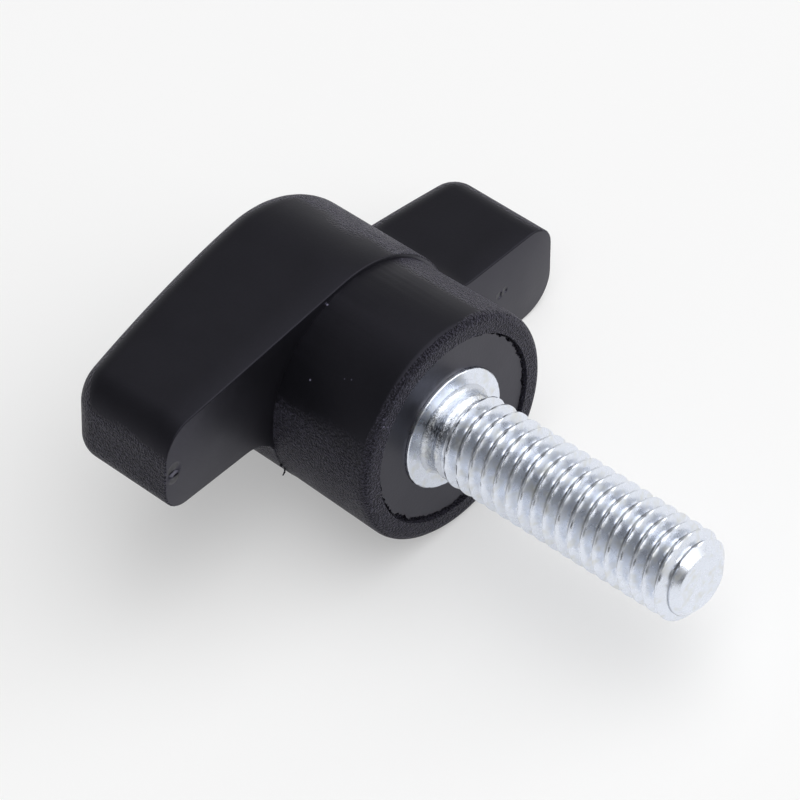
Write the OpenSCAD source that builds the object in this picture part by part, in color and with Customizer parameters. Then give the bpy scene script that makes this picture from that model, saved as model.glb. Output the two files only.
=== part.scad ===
// Wing-headed thumb screw: a black moulded head with two S-set wings on a round boss,
// and a zinc-plated steel stud whose fluted anchor is moulded into the head.
// The stud axis is X, with the free end at +X. The origin is the centre of the collar's clamping
// face. The screw lies on its side, on the boss and on the outer edge of the wing at +Y.

/* [Stud] */
// Thread major diameter
thread_d = 5.9; // [4:0.1:6.2]
// Pitch of the thread
pitch = 1; // [0.5:0.05:1.5]
// Depth of the thread, as a share of its pitch
thread_depth = 0.58; // [0.4:0.01:0.65]
// Length from the collar's face to the free end
stud_len = 20; // [8:0.5:60]
// Diameter of the neck, where the thread runs out
neck_d = 5.3; // [3:0.1:5.4]
// Length of the neck, from the collar's face
neck_len = 1.3; // [0.5:0.1:4]
// Radius of the fillet between the neck and the collar
neck_fillet = 0.35; // [0.1:0.05:0.4]
// Diameter of the flat at the free end
point_d = 3.8; // [2:0.1:3.9]
// Length of the chamfer at the free end
point_len = 0.85; // [0.3:0.05:2]

/* [Collar and anchor] */
// Diameter of the collar that takes the clamping load
collar_d = 8; // [7:0.1:9]
// Length of the collar, from its face back to the undercut
collar_len = 1.8; // [1:0.1:3]
// Diameter of the undercut between the collar and the flutes
undercut_d = 6.4; // [4.5:0.1:6.6]
// Length of the undercut
undercut_len = 1.6; // [0.8:0.1:3]
// Length of the anchor, from the collar's face to its inner end
anchor_len = 13; // [8:0.1:14]
// Count of flutes round the anchor
flute_count = 16; // [6:1:20]
// Diameter of each flute
flute_d = 0.9; // [0.4:0.05:1.1]

/* [Boss] */
// Diameter of the boss, at its front
boss_d = 15.3; // [14:0.05:18]
// Draft of the boss's side, in degrees
boss_draft = 1.8; // [0.5:0.1:3]
// Radius of the boss's front outer edge
boss_edge = 0.6; // [0.2:0.05:0.8]
// Inner diameter of the front rim
rim_bore_d = 12.7; // [11:0.05:12.8]
// Distance of the front rim behind the collar's face
rim_back = 0.02; // [0.01:0.01:0.2]
// Distance of the recessed face inside the rim behind the collar's face
face_back = 0.22; // [0.1:0.01:0.8]
// Distance from the collar's face back to the underside of the wings
boss_len = 7.8; // [5:0.1:12]

/* [Wings] */
// Diameter of the round middle of the wing head, at its underside
head_d = 15.2; // [15.1:0.05:18.5]
// Distance between the two tips' far corners
wing_span = 33.4; // [28:0.1:44]
// Height of a wing at its tip
tip_h = 5.95; // [5:0.05:7]
// Angle at which a wing narrows towards its tip
wing_taper = 5.3; // [0:0.1:7]
// Slant of a tip's end face
tip_slant = 11.5; // [0:0.1:15]
// Corner radius at the inner side of a tip
corner_in = 1.65; // [0.5:0.05:2]
// Corner radius at the outer side of a tip
corner_out = 2.5; // [1.2:0.05:3]
// Radius of the hollow between a wing and the round middle
hollow_r = 2.4; // [0.8:0.1:4]
// Height of the crest above the wings' underside
crest_h = 9.6; // [8.5:0.1:14]
// Slope of the head's back, from the crest down to a tip, in degrees
back_slope = 3.1; // [0:0.1:14]
// Length of the crest's rounding
crest_round = 3.6; // [0.5:0.1:6]
// Radius of the crown along the head's back
back_crown = 130; // [60:1:400]
// Narrowing of the head from its underside to its back, on each side
wing_draft = 0.1; // [0.05:0.01:0.5]
// Radius of the edges of the head's back
back_edge = 1.7; // [0.5:0.05:2]
// Radius of the edges of the wings' underside
under_edge = 0.25; // [0.1:0.05:0.4]
// Offset of the head from the boss along Y, where the halves of the mould don't quite meet
offset_y = 0.12; // [0:0.01:0.15]
// Offset of the head from the boss along Z
offset_z = 0.07; // [0:0.01:0.1]

/* [Fit] */
// Clearance between the moulding and the anchor
mould_gap = 0.02; // [0.01:0.01:0.05]

/* [Hidden] */

$fn = 96;
ARC_N = 6;     // steps in a corner
MIDDLE_N = 14; // steps round the middle
EDGE_N = 8;    // steps along the outer edge
UNDER_N = 2;   // rings in the rounding of the underside
BACK_N = 4;    // rings in the rounding of the back

eps = 0.01;

head_r = head_d / 2;
thread_r = thread_d / 2;
neck_r = neck_d / 2;
// length of the cone between the neck and the thread
run_in = min(thread_r - neck_r, neck_len / 2);
// whole turns between the neck and the point
thread_turns = floor((stud_len - point_len - neck_len) / pitch);
// depth to which the boss runs on inside the wing head
boss_sink = 1;

// Points along an arc, both ends included
function arc(c, r, a0, a1, n) =
    [for (i = [0:n]) let (a = a0 + (a1 - a0) * i / n) c + r * [cos(a), sin(a)]];

// Points along a straight line, both ends left out
function between(p, q, n) = [for (i = [1:n - 1]) p + (q - p) * i / n];

// Unit vectors along a direction, and to the left of it
function along(a) = [cos(a), sin(a)];
function left(a) = [-sin(a), cos(a)];

// Where two lines meet, each given by a point and a direction
function meet(p, a, q, b) =
    let (d = q - p) p + along(a) * (d.x * sin(b) - d.y * cos(b)) / sin(b - a);

// Centre of the round that turns a corner at k to the left
function corner_centre(k, a, b, r) = k - along(a) * r * tan((b - a) / 2) + left(a) * r;

// The part of the head's outline that the wing at +Y makes, with every side moved in by s.
// It runs out along the outer edge, over the tip, back along the inner edge, through the hollow
// and round the middle. The other wing's part is this one turned by 180 degrees.
function wing_outline(s) =
    let (
        r = head_r - s,
        r_out = max(corner_out - s, 0.2),
        r_in = max(corner_in - s, 0.2),
        r_hollow = hollow_r + s,
        a_out = 0,
        a_tip = 90 - tip_slant,
        a_in = 180 - wing_taper,
        far = [wing_span / 2, tip_h - head_r],
        k_out = meet([0, -r], a_out, far + left(a_tip) * s, a_tip),
        k_in = meet(far + left(a_tip) * s, a_tip, far + left(a_in) * s, a_in),
        c_out = corner_centre(k_out, a_out, a_tip, r_out),
        c_in = corner_centre(k_in, a_tip, a_in, r_in),
        off = (far + left(a_in) * s) * left(a_in) - r_hollow,
        c_hollow = left(a_in) * off - along(a_in) * sqrt((r + r_hollow) ^ 2 - off ^ 2),
        a_hollow = atan2(c_hollow.y, c_hollow.x),
        start = [0, -r],
        tip_0 = c_out - left(a_out) * r_out,
        tip_1 = c_in - left(a_in) * r_in,
        root = c_hollow + left(a_in) * r_hollow
    )
    concat(
        [start], between(start, tip_0, EDGE_N),
        arc(c_out, r_out, a_out - 90, a_tip - 90, ARC_N),
        arc(c_in, r_in, a_tip - 90, a_in - 90, ARC_N),
        between(tip_1, root, 2),
        arc(c_hollow, r_hollow, a_in + 90, 180 + a_hollow, ARC_N),
        [for (i = [1:MIDDLE_N - 1]) let (a = a_hollow + (90 - a_hollow) * i / MIDDLE_N) r * along(a)]
    );

function head_outline(s) = let (h = wing_outline(s)) concat(h, -h);

// Height of the head's back above the wings' underside, at a point of the outline
function back_h(p) =
    crest_h - tan(back_slope) * (sqrt(p.x ^ 2 + crest_round ^ 2) - crest_round)
    - (back_crown - sqrt(back_crown ^ 2 - p.x ^ 2));

// The head's rings, from its underside to its back. Each is [inset, share of the height, lift].
head_rings = concat(
    [for (i = [0:UNDER_N]) let (a = 90 * i / UNDER_N)
        [under_edge * (1 - sin(a)), 0, under_edge * (1 - cos(a))]],
    [for (i = [0:BACK_N]) let (a = 90 * i / BACK_N)
        [wing_draft + back_edge * (1 - cos(a)), 1, -back_edge * (1 - sin(a))]]
);

// Triangles that fill a ring between its lower and its upper side, both listed by rising y
function strip(ring, lower, upper, i = 0, j = 0) =
    let (more_low = i < len(lower) - 1, more_up = j < len(upper) - 1)
    !more_low && !more_up ? [] :
    !more_up || (more_low && ring[lower[i + 1]].x < ring[upper[j + 1]].x)
        ? concat([[lower[i], lower[i + 1], upper[j]]], strip(ring, lower, upper, i + 1, j))
        : concat([[lower[i], upper[j + 1], upper[j]]], strip(ring, lower, upper, i, j + 1));

module wing_body() {
    rings = [for (g = head_rings) head_outline(g[0])];
    rows = len(rings);
    n = len(rings[0]);
    points = [for (j = [0:rows - 1]) for (p = rings[j])
        [-boss_len - head_rings[j][1] * back_h(p) - head_rings[j][2],
            p.x + offset_y, p.y + offset_z]];
    walls = [for (j = [0:rows - 2]) for (i = [0:n - 1]) let (a = j * n, k = (i + 1) % n)
        each [[a + i, a + n + k, a + n + i], [a + i, a + k, a + n + k]]];
    // the far points of the two tips part a ring's lower side from its upper side
    far = max([for (p = rings[0]) p.x]);
    right_tip = [for (i = [0:n - 1]) if (rings[0][i].x == far) i][0];
    lower = [for (i = [0:n / 2]) (right_tip + n / 2 + i) % n];
    upper = [for (i = [0:n / 2]) (right_tip + n / 2 - i + n) % n];
    underside = [for (t = strip(rings[0], lower, upper)) [t[0], t[2], t[1]]];
    back = [for (t = strip(rings[rows - 1], lower, upper)) t + (rows - 1) * n * [1, 1, 1]];
    polyhedron(points, concat(underside, walls, back), convexity = 8);
}

// Turns a profile of [distance along X, radius] points round the stud axis
module turned(profile) {
    rotate([0, 90, 0]) rotate_extrude() polygon([for (p = profile) [p[1], p[0]]]);
}

// A round edge in a profile, from angle a0 to a1 about the centre [x, radius]
function edge(c, r, a0, a1) = arc(c, r, a0, a1, ARC_N);

// The front boss, with its rim round a recessed face
module boss() {
    front = -rim_back;
    side_x = front - boss_edge;
    root_x = -boss_len - boss_sink;
    turned(concat(
        [[root_x, 0], [root_x, boss_d / 2 - tan(boss_draft) * (side_x - root_x)]],
        edge([side_x, boss_d / 2 - boss_edge], boss_edge, 90, 0),
        [[front, rim_bore_d / 2], [-face_back, rim_bore_d / 2], [-face_back, 0]]
    ));
}

// The anchor, and the collar in front of it. grow makes the room that the moulding leaves for them.
module anchor(grow) {
    front = grow > 0 ? eps : 0;
    difference() {
        turned([
            [-anchor_len - grow, 0],
            [-anchor_len - grow, collar_d / 2 - flute_d / 2 + grow],
            [-anchor_len - grow + flute_d / 2, collar_d / 2 + grow],
            [-collar_len - undercut_len + grow, collar_d / 2 + grow],
            [-collar_len - undercut_len + grow, undercut_d / 2 + grow],
            [-collar_len - grow, undercut_d / 2 + grow],
            [-collar_len - grow, collar_d / 2 + grow],
            [front, collar_d / 2 + grow],
            [front, 0],
        ]);
        for (i = [0:flute_count - 1]) rotate([360 * i / flute_count, 0, 0])
            translate([-anchor_len - grow - eps, 0, collar_d / 2])
                rotate([0, 90, 0]) cylinder(d = flute_d - 2 * grow,
                    h = anchor_len - collar_len - undercut_len + 2 * grow + 2 * eps, $fn = 24);
    }
}

module wing_head() {
    color("#1c1d20") difference() {
        union() {
            wing_body();
            boss();
        }
        anchor(mould_gap);
    }
}

// The thread's profile, as rings of its pitch, depth and flank angle
thread_rings =
    let (
        root_r = thread_r - pitch * thread_depth,
        crest = pitch / 8,
        flank = (thread_r - root_r) * tan(30)
    )
    [for (i = [0:thread_turns - 1]) let (x = neck_len + i * pitch)
        each [[x, thread_r], [x + crest, thread_r],
              [x + crest + flank, root_r], [x + pitch - flank, root_r]]];

module threaded_stud() {
    fillet = min(neck_fillet, neck_len - run_in);
    color("#c9ced6") union() {
        anchor(0);
        turned(concat(
            [[-eps, 0], [-eps, neck_r + fillet]],
            edge([fillet, neck_r + fillet], fillet, 180, 270),
            [[neck_len - run_in, neck_r]],
            thread_rings,
            [[neck_len + thread_turns * pitch, thread_r],
             [stud_len - point_len, thread_r], [stud_len, point_d / 2], [stud_len, 0]]
        ));
    }
}

wing_head();
threaded_stud();
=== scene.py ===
"""Thumb screw: a black moulded head with two S-set wings, and a zinc-plated threaded stud.

The stud axis is X with the free end at +X, and the origin is the centre of the collar's face.
"""

import math

import bmesh
import bpy
from mathutils import Matrix, Vector, noise


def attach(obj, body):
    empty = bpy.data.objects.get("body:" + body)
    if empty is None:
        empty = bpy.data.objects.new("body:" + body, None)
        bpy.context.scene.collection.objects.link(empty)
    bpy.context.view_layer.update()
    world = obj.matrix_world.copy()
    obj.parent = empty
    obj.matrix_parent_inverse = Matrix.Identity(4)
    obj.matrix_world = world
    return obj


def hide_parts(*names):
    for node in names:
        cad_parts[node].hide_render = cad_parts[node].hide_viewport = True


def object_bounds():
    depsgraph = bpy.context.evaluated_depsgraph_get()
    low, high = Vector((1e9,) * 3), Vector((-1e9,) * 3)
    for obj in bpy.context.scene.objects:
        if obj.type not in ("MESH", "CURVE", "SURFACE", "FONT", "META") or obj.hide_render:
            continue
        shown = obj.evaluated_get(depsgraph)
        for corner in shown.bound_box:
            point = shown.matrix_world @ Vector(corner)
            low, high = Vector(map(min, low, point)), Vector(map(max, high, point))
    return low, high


bl_info = {
    "name": "Thumb Screw",
    "version": (1, 0, 0),
    "blender": (4, 5, 0),
    "location": "View3D > Sidebar > Thumb Screw",
    "description": "Builds a moulded thumb screw with a threaded steel stud",
    "category": "Add Mesh",
}

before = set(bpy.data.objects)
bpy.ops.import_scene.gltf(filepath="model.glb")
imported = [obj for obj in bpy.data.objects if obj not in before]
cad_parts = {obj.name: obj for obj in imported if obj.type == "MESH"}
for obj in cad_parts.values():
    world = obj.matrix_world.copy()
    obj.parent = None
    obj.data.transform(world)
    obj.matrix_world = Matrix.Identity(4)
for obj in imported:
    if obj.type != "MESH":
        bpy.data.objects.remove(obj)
CAD_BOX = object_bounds()

MM = 0.001
TURN = 2 * math.pi
# places nearer than this are one place, and faces nearer than the second lie in one plane
SAME_PLACE = 1e-7
SAME_PLANE = 1e-6


# Sizes and colours that a user would change

def length_field(name, description, millimetres, digits=5):
    """A length that a user can set."""
    return bpy.props.FloatProperty(
        name=name, description=description, default=millimetres * MM,
        unit="LENGTH", precision=digits)


def angle_field(name, description, degrees):
    """An angle that a user can set."""
    return bpy.props.FloatProperty(
        name=name, description=description, default=math.radians(degrees), subtype="ANGLE")


def srgb(code):
    """Linear colour of an sRGB hex value."""
    parts = [int(code[i:i + 2], 16) / 255 for i in (1, 3, 5)]
    return [c / 12.92 if c <= 0.04045 else ((c + 0.055) / 1.055) ** 2.4 for c in parts] + [1.0]


def colour_field(name, description, code):
    """A colour that a user can set, given as an sRGB hex value."""
    return bpy.props.FloatVectorProperty(
        name=name, description=description, subtype="COLOR", size=4, default=srgb(code),
        min=0, max=1)


class HeadSizes(bpy.types.PropertyGroup):
    """Sizes of the moulded head."""

    middle_diameter: length_field("Middle Diameter", "Diameter of the head's round middle", 15.2)
    wing_span: length_field("Wing Span", "Distance between the far corners of the two tips", 33.4)
    tip_height: length_field("Tip Height", "Height of a wing at its tip", 5.95)
    wing_taper: angle_field("Wing Taper", "Angle at which a wing narrows towards its tip", 5.3)
    tip_slant: angle_field("Tip Slant", "Slant of a tip's end face", 11.5)
    outer_corner: length_field("Outer Corner", "Radius of a tip's outer corner", 2.5)
    inner_corner: length_field("Inner Corner", "Radius of a tip's inner corner", 1.65)
    hollow_radius: length_field("Hollow Radius", "Radius of the hollow between a wing and the middle", 2.4)
    crest_height: length_field("Crest Height", "Height of the crest above the wings' underside", 9.6)
    back_slope: angle_field("Back Slope", "Slope of the back from the crest down to a tip", 3.1)
    crest_rounding: length_field("Crest Rounding", "Length of the crest's rounding", 3.6)
    back_crown: length_field("Back Crown", "Radius of the crown along the head's back", 130)
    wing_draft: length_field("Wing Draft", "Narrowing from the underside to the back, on each side", 0.1)
    back_edge: length_field("Back Edge", "Radius of the edges of the head's back", 1.7)
    under_edge: length_field("Under Edge", "Radius of the edges of the wings' underside", 0.1)
    ragged: length_field("Ragged Edge", "How far the mould's parting edges wander", 0.035, 6)
    seam_width: length_field("Seam Width", "Mean width of the broken flash seam round the face", 0.24, 6)
    offset_y: length_field("Offset Y", "Offset of the head from the boss along Y", 0.12, 6)
    offset_z: length_field("Offset Z", "Offset of the head from the boss along Z", 0.07, 6)
    boss_diameter: length_field("Boss Diameter", "Diameter of the boss at its front", 15.3)
    boss_draft: angle_field("Boss Draft", "Draft of the boss's side", 1.8)
    boss_edge: length_field("Boss Edge", "Radius of the boss's front outer edge", 0.6)
    boss_length: length_field("Boss Length", "Distance from the collar's face back to the underside", 7.8)
    crease: length_field("Edge Crease", "Depth of the fine crease in the boss's front edge", 0.05, 6)
    rim_bore: length_field("Rim Bore", "Inner diameter of the front rim", 12.7)
    rim_back: length_field("Rim Set Back", "Distance of the rim behind the collar's face", 0.02, 6)
    face_back: length_field("Face Set Back", "Distance of the recess behind the collar's face", 0.22, 6)


class StudSizes(bpy.types.PropertyGroup):
    """Sizes of the steel stud."""

    crest_diameter: length_field("Crest Diameter", "Major diameter of the thread", 5.9)
    root_diameter: length_field("Root Diameter", "Diameter at the bottom of the thread's groove", 4.75)
    pitch: length_field("Pitch", "Distance from one crest to the next", 1.0)
    length: length_field("Length", "Length from the collar's face to the free end", 20.0)
    neck_diameter: length_field("Neck Diameter", "Diameter of the neck, where the thread runs out", 5.3)
    neck_length: length_field("Neck Length", "Length of the neck from the collar's face", 1.3)
    neck_fillet: length_field("Neck Fillet", "Radius of the fillet between neck and collar", 0.35)
    point_diameter: length_field("Point Diameter", "Diameter of the flat at the free end", 3.8)
    point_length: length_field("Point Length", "Length of the chamfer at the free end", 0.85)
    collar_diameter: length_field("Collar Diameter", "Diameter of the collar at the stud's root", 8.0)
    collar_nibble: length_field("Collar Nibble", "How far the collar's front edge wanders", 0.03, 6)
    anchor_length: length_field("Anchor Length", "Length of the part that is held in the head", 13.0)


class Finish(bpy.types.PropertyGroup):
    """Colours of the two materials and the floor."""

    plastic: colour_field("Plastic", "Colour of the glass-filled plastic", "#0F0F12")
    zinc: colour_field("Zinc", "Colour of the zinc plating", "#E5EAF4")
    floor: colour_field("Floor", "Colour of the floor", "#F4F4F4")


# Drawing with bmesh

class Pen:
    """Draws a chain of edges in the plane across the stud axis at x."""

    def __init__(self, bm, x, start):
        self.bm, self.x = bm, x
        self.tip = bm.verts.new((x, *start))

    def line(self, end, steps):
        """A straight line to end, in equal steps."""
        step = (Vector((self.x, *end)) - self.tip.co) / steps
        for _ in range(steps):
            self.tip = bmesh.ops.extrude_vert_indiv(self.bm, verts=[self.tip])["verts"][0]
            bmesh.ops.translate(self.bm, verts=[self.tip], vec=step)

    def arc(self, centre, turn, steps):
        """An arc about centre, through the angle turn."""
        self.tip = bmesh.ops.spin(
            self.bm, geom=[self.tip], cent=(self.x, *centre), axis=(1, 0, 0), dvec=(0, 0, 0),
            angle=turn, steps=steps, use_merge=False, use_duplicate=False)["geom_last"][0]


def along(direction):
    """Unit vector in a plane."""
    return Vector((math.cos(direction), math.sin(direction)))


def left(direction):
    """Unit vector to the left of a direction."""
    return Vector((-math.sin(direction), math.cos(direction)))


def meet(p, a, q, b):
    """Where two lines meet, each given by a point and a direction."""
    d = q - p
    return p + along(a) * (d.x * math.sin(b) - d.y * math.cos(b)) / math.sin(b - a)


def draw_half(pen, h, inset, sign):
    """Half of the head's outline, moved in by inset: one wing and its part of the middle.

    sign is 1 for the wing at +Y and -1 for the one at -Y, which is the first turned by half a turn.
    """
    least = 0.2 * MM
    radius = h.middle_diameter / 2 - inset
    r_out, r_in = max(h.outer_corner - inset, least), max(h.inner_corner - inset, least)
    r_hollow = h.hollow_radius + inset
    a_out, a_tip, a_in = 0, math.pi / 2 - h.tip_slant, math.pi - h.wing_taper
    far = Vector((h.wing_span / 2, h.tip_height - h.middle_diameter / 2))
    k_out = meet(Vector((0, -radius)), a_out, far + left(a_tip) * inset, a_tip)
    k_in = meet(far + left(a_tip) * inset, a_tip, far + left(a_in) * inset, a_in)
    c_out = k_out - along(a_out) * r_out * math.tan((a_tip - a_out) / 2) + left(a_out) * r_out
    c_in = k_in - along(a_tip) * r_in * math.tan((a_in - a_tip) / 2) + left(a_tip) * r_in
    off = (far + left(a_in) * inset).dot(left(a_in)) - r_hollow
    c_hollow = left(a_in) * off - along(a_in) * math.sqrt((radius + r_hollow) ** 2 - off ** 2)
    a_hollow = math.atan2(c_hollow.y, c_hollow.x)
    pen.line(sign * (c_out - left(a_out) * r_out), steps=14)
    pen.arc(sign * c_out, a_tip - a_out, steps=10)
    pen.line(sign * (c_in - left(a_tip) * r_in), steps=4)
    pen.arc(sign * c_in, a_in - a_tip, steps=8)
    pen.line(sign * (c_hollow + left(a_in) * r_hollow), steps=8)
    pen.arc(sign * c_hollow, math.pi / 2 + a_hollow - a_in, steps=10)
    pen.arc((0, 0), math.pi / 2 - a_hollow, steps=26)


def draw_outline(bm, h, x, inset):
    """The closed outline of the head at x, moved in by inset. Returns its edges."""
    before = set(bm.edges)
    pen = Pen(bm, x, (0, inset - h.middle_diameter / 2))
    start = pen.tip
    draw_half(pen, h, inset, 1)
    draw_half(pen, h, inset, -1)
    bmesh.ops.pointmerge(bm, verts=[pen.tip, start], merge_co=start.co)
    return [e for e in bm.edges if e not in before]


def quarter(steps):
    """The angles of a quarter turn, in equal steps."""
    return [math.pi / 2 * i / steps for i in range(steps + 1)]


def back_fall(h, y):
    """How far the head's back lies below the crest, at a distance from the stud axis."""
    slope = math.tan(h.back_slope) * (math.hypot(y, h.crest_rounding) - h.crest_rounding)
    return slope + h.back_crown - math.sqrt(h.back_crown ** 2 - y ** 2)


def ring_edges(verts):
    """Edges that join the given vertices."""
    chosen = set(verts)
    return list({e for v in chosen for e in v.link_edges if e.other_vert(v) in chosen})


def wander(place, size):
    """Smooth noise of -1 to 1 at a place, with lumps of the given size."""
    return noise.noise(Vector(place) / size)


def off_axis(v):
    """Distance of a vertex from the stud axis."""
    return math.hypot(v.co.y, v.co.z)


def scale_off_axis(v, scale):
    """Moves a vertex away from the stud axis, or towards it."""
    v.co.y *= scale
    v.co.z *= scale


def cut_into_strips(bm, cap, reach, strips):
    """Cuts the flat cap into strips along Y, so that it can follow the crowned back."""
    level = min(v.co.x for v in bm.verts) + SAME_PLANE
    for i in range(1, strips):
        y = -reach + 2 * reach * i / strips
        geom = [g for f in cap for g in (f, *f.edges, *f.verts)]
        bmesh.ops.bisect_plane(bm, geom=list(dict.fromkeys(geom)), plane_co=(0, y, 0),
                               plane_no=(0, 1, 0), dist=SAME_PLACE)
        cap = [f for f in bm.faces if all(v.co.x < level for v in f.verts)]


def wing_body(bm, h):
    """The two wings and the round middle. The underside is left open. Returns its edge loop."""
    under, back = h.under_edge, h.back_edge
    side_end = h.crest_height - back
    side = side_end - under
    # each ring is its inset and its distance behind the underside
    rings = [(under * (1 - math.sin(a)), under * (1 - math.cos(a))) for a in quarter(4)]
    rings += [(h.wing_draft * share, under + side * share) for share in (0.25, 0.5, 0.75)]
    rings += [(h.wing_draft + back * (1 - math.cos(a)), side_end + back * math.sin(a))
              for a in quarter(10)]
    loops = [draw_outline(bm, h, -h.boss_length - depth, inset) for inset, depth in rings]
    for lower, upper in zip(loops, loops[1:]):
        bmesh.ops.bridge_loops(bm, edges=lower + upper)
    first = [e for e in loops[0] if e.is_valid]
    last = [e for e in loops[-1] if e.is_valid]
    cap = bmesh.ops.edgeloop_fill(bm, edges=last)["faces"]
    cut_into_strips(bm, cap, h.wing_span / 2, 44)
    for v in {v for e in first for v in e.verts}:
        out = Vector((0, v.co.y, v.co.z)).normalized()
        v.co += out * h.ragged * (wander(v.co, 0.5 * MM) + wander(v.co, 1.6 * MM))
    foot = -h.boss_length - under
    for v in bm.verts:
        share = min(1.0, max(0.0, (foot - v.co.x) / side))
        v.co.x += share * back_fall(h, v.co.y)
    bmesh.ops.translate(bm, verts=bm.verts, vec=(0, h.offset_y, h.offset_z))
    return first


def broken_seam(y, z):
    """How far the recessed face reaches into its seam, as a share of the seam's width."""
    around = Vector((0, y, z)).normalized() * MM
    torn = wander(around, 0.03 * MM) + 0.9 * wander(around, 0.12 * MM)
    # the seam is widest towards +Y and at the lower left, and almost shut between them
    open_side = max(0, 0.88 * y, -0.64 * y - 0.77 * z) / math.hypot(y, z)
    return 0.6 + 0.7 * torn - 0.75 * open_side ** 2


def boss(bm, h, collar):
    """The boss with its rim, recessed face and the bore round the anchor. Returns its root loop."""
    before = set(bm.verts)
    front, root = -h.rim_back, -h.boss_length
    edge_x = front - h.boss_edge
    radius = h.boss_diameter / 2
    slope = math.tan(h.boss_draft)
    root_radius = radius - slope * (edge_x - root)
    # a ring near the root keeps its ragged edge from showing along the whole side
    near_root = root + 0.3 * MM
    points = [(root, root_radius), (near_root, root_radius + slope * (near_root - root)),
              (edge_x, radius)]
    edge_steps = 8
    for i, a in enumerate(quarter(edge_steps)[1:], start=1):
        round_r = h.boss_edge - (h.crease if i == edge_steps / 2 else 0)
        points.append((edge_x + round_r * math.sin(a), radius - h.boss_edge + round_r * math.cos(a)))
    mould_gap = 0.02 * MM
    hole, bottom = collar.collar_diameter / 2 + mould_gap, -collar.anchor_length - mould_gap
    bore, floor_x = h.rim_bore / 2, -h.face_back - h.seam_width
    lip, lip_bevel = bore - h.seam_width, 0.02 * MM
    points += [(front, bore), (floor_x, bore), (floor_x, lip), (-h.face_back, lip - lip_bevel),
               (-h.face_back, hole), (bottom, hole), (bottom, 0)]
    spin_profile(bm, points, 384)
    made = [v for v in bm.verts if v not in before]
    lip_reach, least_gap = 0.03 * MM, 0.01 * MM
    for v in made:
        r = off_axis(v)
        if abs(r - lip) < lip_reach and v.co.x > floor_x - SAME_PLACE:
            torn_r = r + h.seam_width * broken_seam(v.co.y, v.co.z)
            scale_off_axis(v, min(bore - least_gap, torn_r) / r)
    ring = [v for v in made if abs(v.co.x - root) < SAME_PLACE]
    for v in ring:
        r = off_axis(v)
        torn_r = r + h.ragged * (wander(v.co, 0.25 * MM) + wander(v.co, 0.9 * MM))
        scale_off_axis(v, torn_r / r)
    return ring_edges(ring)


def flash_whisker(bm):
    """A whisker and a nub of flash that the tool left at the boss's root. Its places are in mm."""
    bends = [(-7.75, -7.02, -2.5), (-7.74, -7.09, -2.78), (-7.72, -7.3, -2.9)]
    radii = (0.075, 0.06)
    nub, nub_radius = (-7.76, -7.26, -2.05), 0.1
    taper, overlap = 0.6, 1.15
    for start, end, radius in zip(bends, bends[1:], radii):
        start, end = Vector(start) * MM, Vector(end) * MM
        way = end - start
        turn = way.to_track_quat("Z", "Y").to_matrix().to_4x4()
        bmesh.ops.create_cone(bm, cap_ends=True, segments=7, radius1=radius * MM,
                              radius2=radius * MM * taper, depth=way.length * overlap,
                              matrix=Matrix.Translation((start + end) / 2) @ turn)
    bmesh.ops.create_icosphere(bm, subdivisions=2, radius=nub_radius * MM,
                               matrix=Matrix.Translation(Vector(nub) * MM))


def spin_profile(bm, points, steps):
    """Turns a chain of [distance along X, radius] points once round the stud axis."""
    verts = [bm.verts.new((x, 0, r)) for x, r in points]
    edges = [bm.edges.new(pair) for pair in zip(verts, verts[1:])]
    bmesh.ops.spin(bm, geom=verts + edges, cent=(0, 0, 0), axis=(1, 0, 0), dvec=(0, 0, 0),
                   angle=TURN, steps=steps, use_merge=True, use_duplicate=False)
    poles = [v for v in bm.verts if off_axis(v) < SAME_PLACE]
    bmesh.ops.remove_doubles(bm, verts=poles, dist=SAME_PLANE)


def off_crest(s, turn_share, x):
    """Distance along X from the nearest crest, where turn_share is the share of a turn."""
    return abs((x / s.pitch - turn_share) % 1.0 - 0.5) * s.pitch


def thread_radius(s, away):
    """Radius of the thread's surface at a distance from the crest."""
    crest, root = s.crest_diameter / 2, s.root_diameter / 2
    flank = (crest - root) * math.tan(math.radians(30))
    crest_half = s.pitch / 16
    share = min(1.0, max(0.0, (away - crest_half) / flank))
    return crest + (root - crest) * share


def cut_thread(bm, s, start, end):
    """Moves the shank's vertices to the helical thread, and marks painted shade in its root, where the
    next crest hides it.
    """
    run_out = 1.0 * MM
    neck_r, point_r = s.neck_diameter / 2, s.point_diameter / 2
    chamfer = (s.crest_diameter - s.point_diameter) / 2 / s.point_length
    root_shade = bm.verts.layers.float.new("root_shade")
    for v in bm.verts:
        if v.co.x < start - SAME_PLACE or v.co.x > end + SAME_PLACE:
            continue
        turn_share = math.atan2(v.co.z, v.co.y) / TURN
        away = off_crest(s, turn_share, v.co.x)
        run = min(1.0, max(0.0, (v.co.x - start) / run_out))
        r = neck_r + run * (thread_radius(s, away) - neck_r)
        limit = point_r + (s.length - v.co.x) * chamfer
        # painted shade: the last tenth of a pitch before the groove's middle is darkened
        v[root_shade] = run * max(0.0, away / s.pitch - 0.4) * 10 if r < limit else 0.0
        scale_off_axis(v, min(r, limit) / off_axis(v))


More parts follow.
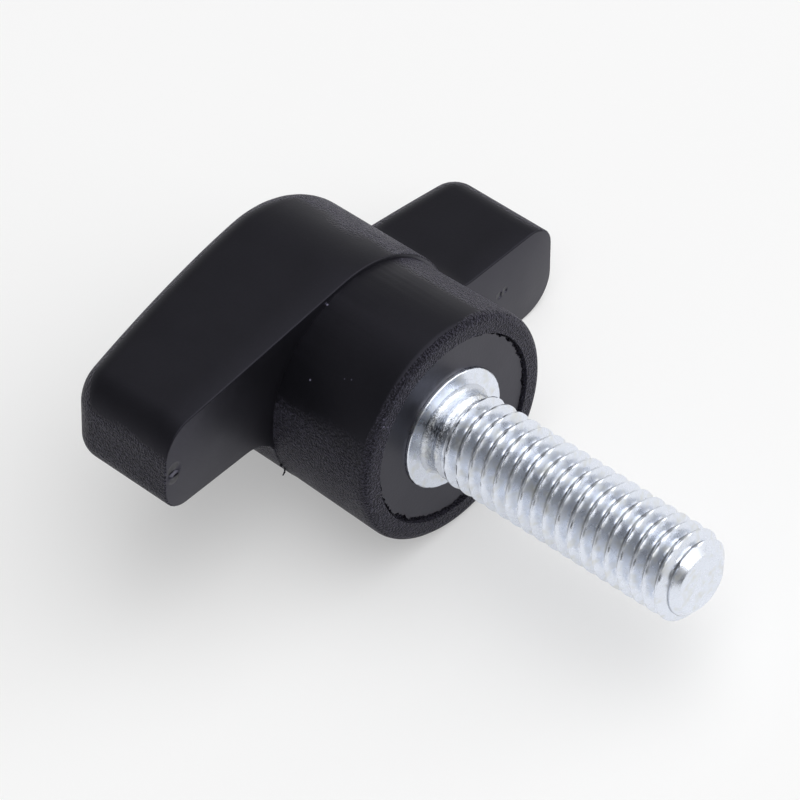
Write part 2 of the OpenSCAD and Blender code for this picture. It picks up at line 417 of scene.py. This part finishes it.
def stud_mesh(bm, s):
    """The collar, the neck, the helical thread and the chamfered end."""
    steps, rows_per_pitch = 128, 16
    collar_r, neck_r = s.collar_diameter / 2, s.neck_diameter / 2
    back_bevel, front_bevel = 0.4 * MM, 0.05 * MM
    turned = [(-s.anchor_length, 0), (-s.anchor_length, collar_r - back_bevel),
              (-s.anchor_length + back_bevel, collar_r), (-front_bevel, collar_r),
              (0, collar_r - front_bevel), (0, neck_r + s.neck_fillet)]
    turned += [(s.neck_fillet * (1 - math.cos(a)), neck_r + s.neck_fillet * (1 - math.sin(a)))
               for a in quarter(6)[1:]]
    # the thread runs out over most of the neck
    start = s.neck_length - 0.8 * MM
    end = s.length - 0.02 * MM
    rows = round((end - start) / s.pitch * rows_per_pitch)
    turned += [(start + (end - start) * i / rows, neck_r) for i in range(rows + 1)]
    turned += [(s.length, s.point_diameter / 2 - 0.05 * MM), (s.length, 0)]
    spin_profile(bm, turned, steps)
    cut_thread(bm, s, start, end)
    edge = front_bevel + 0.01 * MM
    for v in bm.verts:
        if -edge < v.co.x < SAME_PLACE and off_axis(v) > collar_r - edge:
            bite = s.collar_nibble * (wander(v.co, 0.25 * MM) - 0.2)
            scale_off_axis(v, 1 + bite / collar_r)


def add_piece(name, bm, node, materials):
    """Turns a bmesh into an object that stands for a CAD node."""
    bmesh.ops.recalc_face_normals(bm, faces=bm.faces)
    for f in bm.faces:
        f.smooth = True
    mesh = bpy.data.meshes.new(name)
    bm.to_mesh(mesh)
    bm.free()
    mesh.set_sharp_from_angle(angle=math.radians(32))
    piece = bpy.data.objects.new(name, mesh)
    bpy.context.scene.collection.objects.link(piece)
    for material in materials:
        mesh.materials.append(material)
    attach(piece, "root")
    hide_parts(node)
    return piece


# Materials

def add_node(tree, kind, settings=None, inputs=None, links=None):
    """Adds a node with its settings, its socket values and the links that feed it."""
    node = tree.nodes.new(kind)
    for name, value in (settings or {}).items():
        setattr(node, name, value)
    for name, value in (inputs or {}).items():
        node.inputs[name].default_value = value
    for name, source in (links or {}).items():
        tree.links.new(source, node.inputs[name])
    return node


def new_material(name):
    """An empty material and its node tree."""
    material = bpy.data.materials.new(name)
    material.use_nodes = True
    material.node_tree.nodes.clear()
    return material, material.node_tree


def rough_noise(tree, vector, scale, detail, roughness):
    """The value of a noise texture at the vector."""
    return add_node(tree, "ShaderNodeTexNoise", {"noise_dimensions": "3D"},
                    {"Scale": scale, "Detail": detail, "Roughness": roughness},
                    {"Vector": vector}).outputs["Fac"]


def remap(tree, value, low, high, to_low, to_high):
    """The value, moved from the range low to high into another."""
    return add_node(tree, "ShaderNodeMapRange",
                    inputs={"From Min": low, "From Max": high, "To Min": to_low, "To Max": to_high},
                    links={"Value": value}).outputs["Result"]


def spots(tree, place, centres):
    """The sum of soft round spots, each given by its centre in mm, radius in mm and weight."""
    total = None
    for centre, radius, weight in centres:
        away = add_node(tree, "ShaderNodeVectorMath", {"operation": "DISTANCE"},
                        {1: [c * MM for c in centre]}, {0: place})
        spot = add_node(tree, "ShaderNodeMapRange", {"interpolation_type": "SMOOTHSTEP"},
                        {"From Min": 0, "From Max": radius * MM, "To Min": weight, "To Max": 0},
                        {"Value": away.outputs["Value"]}).outputs["Result"]
        total = spot if total is None else add_node(
            tree, "ShaderNodeMath", {"operation": "ADD"}, links={0: total, 1: spot}).outputs[0]
    return total


# small dents in the moulding: a crescent on the wing at -Y, its tip, and a gouge on the wing at +Y
DENTS = [((-7.8, -15.15, 4.8), 0.62, -1.3), ((-7.8, -15.35, 4.35), 0.56, 1.3),
         ((-9.14, -15.95, 2.7), 0.22, -1.0), ((-7.8, 11.7, -3.99), 0.3, -0.8),
         ((-7.8, 11.95, -3.96), 0.24, 0.9), ((-7.8, 12.2, -3.93), 0.26, -0.8)]
# pale specks of bare filler and dust on the boss and its rim
SPECKS = [((-5.88, -5.36, 5.24), 0.09, 0.4), ((-3.71, -4.48, 6.01), 0.09, 0.3),
          ((-3.25, -4.34, 6.12), 0.1, 0.35), ((-7.71, -1.55, 7.34), 0.13, 0.7),
          ((-0.05, -5.1, 5.4), 0.13, 0.9), ((-0.02, -5.5, 5.2), 0.1, 0.3),
          ((-0.02, -5.22, 4.93), 0.1, 0.35), ((-0.02, -4.95, 4.67), 0.1, 0.3)]


def moulded_polyamide(name, base, grain, roughness, gloss):
    """Glass-filled polyamide, moulded in a spark-eroded tool: a fine pebbled grain.

    gloss is lower where the grain's pits trap the light. The grain is weighed by the mesh's own
    attribute, because it fades on the sides that the tool's parting leaves smooth.
    """
    material, tree = new_material(name)
    place = add_node(tree, "ShaderNodeTexCoord").outputs["Object"]
    pebbles = rough_noise(tree, place, 1 / (0.14 * MM), 2.0, 0.5)
    swell = rough_noise(tree, place, 1 / (2.5 * MM), 2.0, 0.5)
    sheen = remap(tree, swell, 0.3, 0.7, roughness - 0.04, roughness + 0.04)
    broad = add_node(tree, "ShaderNodeBump", inputs={"Strength": 0.3, "Distance": 0.04 * MM},
                     links={"Height": swell})
    weight = add_node(tree, "ShaderNodeAttribute", {"attribute_name": "grain"})
    strength = add_node(tree, "ShaderNodeMath", {"operation": "MULTIPLY"}, {1: grain},
                        {0: weight.outputs["Fac"]})
    pitted = add_node(tree, "ShaderNodeBump", inputs={"Distance": 0.65 * MM},
                      links={"Height": pebbles, "Normal": broad.outputs["Normal"],
                             "Strength": strength.outputs[0]})
    bump = add_node(tree, "ShaderNodeBump", inputs={"Strength": 1.0, "Distance": 0.25 * MM},
                    links={"Height": spots(tree, place, DENTS), "Normal": pitted.outputs["Normal"]})
    # the pits are darker than the pebbles' tops, where the glass shows through
    tops = remap(tree, pebbles, 0.42, 0.6, -0.03, 0.045)
    shown = add_node(tree, "ShaderNodeMath", {"operation": "MULTIPLY_ADD"},
                     links={0: tops, 1: strength.outputs[0], 2: spots(tree, place, SPECKS)})
    tone = add_node(tree, "ShaderNodeMix", {"data_type": "RGBA", "clamp_factor": True},
                    {6: base, 7: srgb("#DEDAFF")}, {0: shown.outputs[0]})
    shader = add_node(tree, "ShaderNodeBsdfPrincipled",
                      inputs={"IOR": 1.55, "Specular IOR Level": gloss,
                              "Specular Tint": (0.8, 0.78, 1.0, 1.0),
                              "Sheen Weight": 0.1 * grain, "Sheen Roughness": 0.3,
                              "Sheen Tint": (0.75, 0.7, 1.0, 1.0)},
                      links={"Base Color": tone.outputs[2], "Normal": bump.outputs["Normal"],
                             "Roughness": sheen})
    add_node(tree, "ShaderNodeOutputMaterial", links={"Surface": shader.outputs["BSDF"]})
    return material


def zinc_plate(name, base, roughness, lines, stains):
    """Bright zinc plating over turned and rolled steel.

    lines is the strength of the turning marks, which run round the stud axis. stains are dark
    places, given as for spots, that the marks break up.
    """
    material, tree = new_material(name)
    place = add_node(tree, "ShaderNodeTexCoord").outputs["Object"]
    cloud = rough_noise(tree, place, 1 / (0.7 * MM), 2.0, 0.5)
    across, around = 1 / (0.12 * MM), 1 / (0.25 * MM)
    stretch = add_node(tree, "ShaderNodeMapping", inputs={"Scale": (across, around, around)},
                       links={"Vector": place})
    marks = rough_noise(tree, stretch.outputs["Vector"], 1.0, 3.0, 0.7)
    # the passivation gives a faint straw tint beside the blue
    tint = add_node(tree, "ShaderNodeValToRGB", links={"Fac": cloud})
    tint.color_ramp.elements[0].position = 0.5
    tint.color_ramp.elements[0].color = base
    tint.color_ramp.elements[1].position = 0.8
    tint.color_ramp.elements[1].color = srgb("#DCDDDA")
    stained = add_node(tree, "ShaderNodeMath", {"operation": "MULTIPLY"},
                       links={0: remap(tree, marks, 0.4, 0.56, 0.1, 1.0),
                              1: spots(tree, place, stains)})
    # painted shade darkens the thread's root, where the next crest hides it
    root = add_node(tree, "ShaderNodeAttribute", {"attribute_name": "root_shade"})
    dark = add_node(tree, "ShaderNodeMath", {"operation": "MULTIPLY_ADD"}, {1: 0.7},
                    {0: root.outputs["Fac"], 2: stained.outputs[0]})
    # the dark colour serves both the real stains and the painted shade in the thread's root
    tone = add_node(tree, "ShaderNodeMix", {"data_type": "RGBA", "clamp_factor": True},
                    {7: srgb("#30343E")}, {0: dark.outputs[0], 6: tint.outputs["Color"]})
    haze = remap(tree, cloud, 0.3, 0.7, roughness - 0.05, roughness + 0.08)
    turned = add_node(tree, "ShaderNodeBump", inputs={"Strength": lines, "Distance": 0.12 * MM},
                      links={"Height": marks})
    bump = add_node(tree, "ShaderNodeBump", inputs={"Strength": 0.03, "Distance": 0.03 * MM},
                    links={"Height": cloud, "Normal": turned.outputs["Normal"]})
    shader = add_node(tree, "ShaderNodeBsdfPrincipled", inputs={"Metallic": 1.0},
                      links={"Base Color": tone.outputs[2], "Normal": bump.outputs["Normal"],
                             "Roughness": haze})
    add_node(tree, "ShaderNodeOutputMaterial", links={"Surface": shader.outputs["BSDF"]})
    return material


def weigh_grain(bm, h):
    """Weighs the moulded grain on each vertex: it fades out towards the top, earlier at -Y."""
    bmesh.ops.recalc_face_normals(bm, faces=bm.faces)
    bm.normal_update()
    weight = bm.verts.layers.float.new("grain")
    fade, least = 0.16, 0.02
    for v in bm.verts:
        n = v.normal
        # at the parting edge the normal leans out of the side that the grain goes by
        at_parting = abs(v.co.x + h.boss_length) < 0.2 * MM
        up = n.z / math.hypot(n.y, n.z) if at_parting else n.z - 0.8 * abs(n.x)
        edge = 0.5 + 0.72 * max(0, n.y) + 0.12 * wander(v.co, 1.1 * MM)
        v[weight] = min(1.0, max(least, (edge - up) / fade))


# Operators

class MESH_OT_thumb_screw_head(bpy.types.Operator):
    """Add the moulded head with its wings, boss and recessed face"""

    bl_idname = "mesh.thumb_screw_head"
    bl_label = "Add Head"

    def execute(self, context):
        h, s = context.scene.thumb_screw_head, context.scene.thumb_screw_stud
        black = context.scene.thumb_screw_finish.plastic
        bm = bmesh.new()
        outer = wing_body(bm, h)
        inner = boss(bm, h, s)
        bmesh.ops.triangle_fill(bm, use_beauty=True, edges=outer + inner, normal=(1, 0, 0))
        flash_whisker(bm)
        flats = (-h.boss_length, -h.face_back)
        for f in bm.faces:
            x = f.calc_center_median().x
            f.material_index = 1 if any(abs(x - flat) < SAME_PLANE for flat in flats) else 0
        weigh_grain(bm, h)
        add_piece("winged_head", bm, "wing_head",
                  [moulded_polyamide("grained black polyamide", black, 1.0, 0.44, 0.23),
                   moulded_polyamide("smooth black polyamide", black, 0.02, 0.34, 0.55)])
        return {"FINISHED"}


class MESH_OT_thumb_screw_stud(bpy.types.Operator):
    """Add the steel stud with its collar and rolled thread"""

    bl_idname = "mesh.thumb_screw_stud"
    bl_label = "Add Stud"

    def execute(self, context):
        s = context.scene.thumb_screw_stud
        bm = bmesh.new()
        stud_mesh(bm, s)
        for f in bm.faces:
            f.material_index = 1 if 0 < f.calc_center_median().x < s.neck_length else 0
        bright = context.scene.thumb_screw_finish.zinc
        dull = [c * 0.8 for c in bright[:3]] + [1.0]
        add_piece("rolled_stud", bm, "threaded_stud",
                  [zinc_plate("bright zinc on rolled steel", bright, 0.27, 0.03,
                              [((1.9, -2.2, 1.9), 1.1, 0.35)]),
                   zinc_plate("dull zinc on the turned neck", dull, 0.22, 0.4,
                              [((0.5, -1.85, 1.95), 1.5, 1.0), ((0.6, -2.6, 0.4), 1.0, 0.5)])])
        return {"FINISHED"}


# The stage

# the photograph's size and scale, and where the origin lies in it, in pixels
IMAGE_PIXELS = 800
MM_PER_PIXEL = 1 / 16.84
ORIGIN_AT = (454.1, 428.5)
# unit vectors of the photograph: towards the camera and to the right
TO_CAMERA = Vector((0.5186, -0.4203, 0.7446))
RIGHT = Vector((0.7247, 0.6782, -0.1216))
CAMERA_DISTANCE = 0.87
SENSOR_MM = 36.0


def seen_rays(tree):
    """The socket that is 1 for camera, glossy and transmission rays, and 0 for the rest."""
    path = add_node(tree, "ShaderNodeLightPath")
    total = path.outputs["Is Camera Ray"]
    for name in ("Is Glossy Ray", "Is Transmission Ray"):
        total = add_node(tree, "ShaderNodeMath", {"operation": "MAXIMUM"},
                         links={0: total, 1: path.outputs[name]}).outputs[0]
    return total


def add_floor(scene):
    """A square of white paper under the screw, with its shadow."""
    bm = bmesh.new()
    bmesh.ops.create_grid(bm, x_segments=1, y_segments=1, size=0.35)
    bmesh.ops.translate(bm, verts=bm.verts, vec=(0, 0, CAD_BOX[0].z))
    mesh = bpy.data.meshes.new("floor")
    bm.to_mesh(mesh)
    bm.free()
    floor = bpy.data.objects.new("floor", mesh)
    scene.collection.objects.link(floor)
    material, tree = new_material("white paper floor")
    paper = add_node(tree, "ShaderNodeBsdfDiffuse",
                     inputs={"Color": scene.thumb_screw_finish.floor})
    white = add_node(tree, "ShaderNodeEmission", inputs={"Color": (1, 1, 1, 1), "Strength": 1.0})
    seen = add_node(tree, "ShaderNodeMath", {"operation": "MULTIPLY"}, {1: 0.38},
                    {0: seen_rays(tree)})
    both = add_node(tree, "ShaderNodeMixShader",
                    links={0: seen.outputs[0], 1: paper.outputs[0], 2: white.outputs[0]})
    add_node(tree, "ShaderNodeOutputMaterial", links={"Surface": both.outputs[0]})
    mesh.materials.append(material)


def add_world(scene):
    """A dim room, and for glossy rays the pale sweep of paper that stands round the table."""
    world = bpy.data.worlds.new("studio")
    scene.world = world
    world.use_nodes = True
    tree = world.node_tree
    tree.nodes.clear()
    room = add_node(tree, "ShaderNodeBackground", inputs={"Strength": 0.15})
    where = add_node(tree, "ShaderNodeTexCoord").outputs["Generated"]
    height = add_node(tree, "ShaderNodeSeparateXYZ", links={0: where})
    fall = remap(tree, height.outputs["Z"], 0.05, 0.65, 1.0, 0.2)
    # the unlit room beyond the table, low on the photographer's side
    aside = add_node(tree, "ShaderNodeVectorMath", {"operation": "DOT_PRODUCT"},
                     {1: (0.8, -0.55, 0.24)}, {0: where})
    unlit = remap(tree, aside.outputs["Value"], 0.82, 0.94, 1.0, 0.05)
    level = add_node(tree, "ShaderNodeMath", {"operation": "MULTIPLY"}, links={0: fall, 1: unlit})
    sweep = add_node(tree, "ShaderNodeBackground", links={"Strength": level.outputs[0]})
    sky = add_node(tree, "ShaderNodeMixShader",
                   links={0: seen_rays(tree), 1: room.outputs[0], 2: sweep.outputs[0]})
    add_node(tree, "ShaderNodeOutputWorld", links={"Surface": sky.outputs[0]})


def add_softbox(scene, name, place, size, watts):
    """A square light at place that faces the screw."""
    light = bpy.data.lights.new(name, "AREA")
    light.shape, light.size, light.energy = "SQUARE", size, watts
    lamp = bpy.data.objects.new(name, light)
    lamp.location = place
    lamp.rotation_euler = (-Vector(place)).to_track_quat("-Z", "Y").to_euler()
    scene.collection.objects.link(lamp)


def add_camera(scene):
    """The photograph's camera, aimed so that the origin lies where it does there."""
    forward = -TO_CAMERA.normalized()
    right = (RIGHT - forward * RIGHT.dot(forward)).normalized()
    up = right.cross(forward)
    middle = IMAGE_PIXELS / 2
    aim = MM * MM_PER_PIXEL * (right * (middle - ORIGIN_AT[0]) - up * (middle - ORIGIN_AT[1]))
    camera_data = bpy.data.cameras.new("camera")
    camera_data.sensor_width = SENSOR_MM
    camera_data.lens = SENSOR_MM * CAMERA_DISTANCE / (IMAGE_PIXELS * MM_PER_PIXEL * MM)
    camera_data.clip_start, camera_data.clip_end = 0.1, 10.0
    camera = bpy.data.objects.new("camera", camera_data)
    axes = Matrix((right, up, -forward)).transposed()
    camera.matrix_world = Matrix.Translation(aim - forward * CAMERA_DISTANCE) @ axes.to_4x4()
    scene.collection.objects.link(camera)
    scene.camera = camera


class SCENE_OT_thumb_screw_stage(bpy.types.Operator):
    """Add the floor, the lights, the world and the camera"""

    bl_idname = "scene.thumb_screw_stage"
    bl_label = "Add Stage"

    def execute(self, context):
        scene = context.scene
        add_floor(scene)
        add_world(scene)
        add_softbox(scene, "overhead softbox", (0.45, 0.35, 0.95), 2.0, 24)
        add_softbox(scene, "front softbox", (0.35, -0.55, 0.9), 0.8, 0.55)
        add_softbox(scene, "side softbox", (0.3, 0.75, 0.35), 0.5, 0.5)
        add_camera(scene)
        scene.view_settings.view_transform = "Standard"
        return {"FINISHED"}


class VIEW3D_PT_thumb_screw(bpy.types.Panel):
    """Lists the sizes and the operators of the thumb screw"""

    bl_label = "Thumb Screw"
    bl_idname = "VIEW3D_PT_thumb_screw"
    bl_space_type = "VIEW_3D"
    bl_region_type = "UI"
    bl_category = "Thumb Screw"

    def draw(self, context):
        for operator in OPERATORS:
            self.layout.operator(operator.bl_idname)
        for name in GROUPS:
            group = getattr(context.scene, name)
            box = self.layout.box()
            for field in type(group).__annotations__:
                box.prop(group, field)


OPERATORS = (MESH_OT_thumb_screw_head, MESH_OT_thumb_screw_stud, SCENE_OT_thumb_screw_stage)
GROUPS = {"thumb_screw_head": HeadSizes, "thumb_screw_stud": StudSizes,
          "thumb_screw_finish": Finish}
CLASSES = (*GROUPS.values(), *OPERATORS, VIEW3D_PT_thumb_screw)


def register():
    for item in CLASSES:
        bpy.utils.register_class(item)
    for name, group in GROUPS.items():
        setattr(bpy.types.Scene, name, bpy.props.PointerProperty(type=group))


def unregister():
    for name in GROUPS:
        delattr(bpy.types.Scene, name)
    for item in reversed(CLASSES):
        bpy.utils.unregister_class(item)


def main():
    register()
    bpy.ops.mesh.thumb_screw_head()
    bpy.ops.mesh.thumb_screw_stud()
    bpy.ops.scene.thumb_screw_stage()


if __name__ == "__main__":
    main()
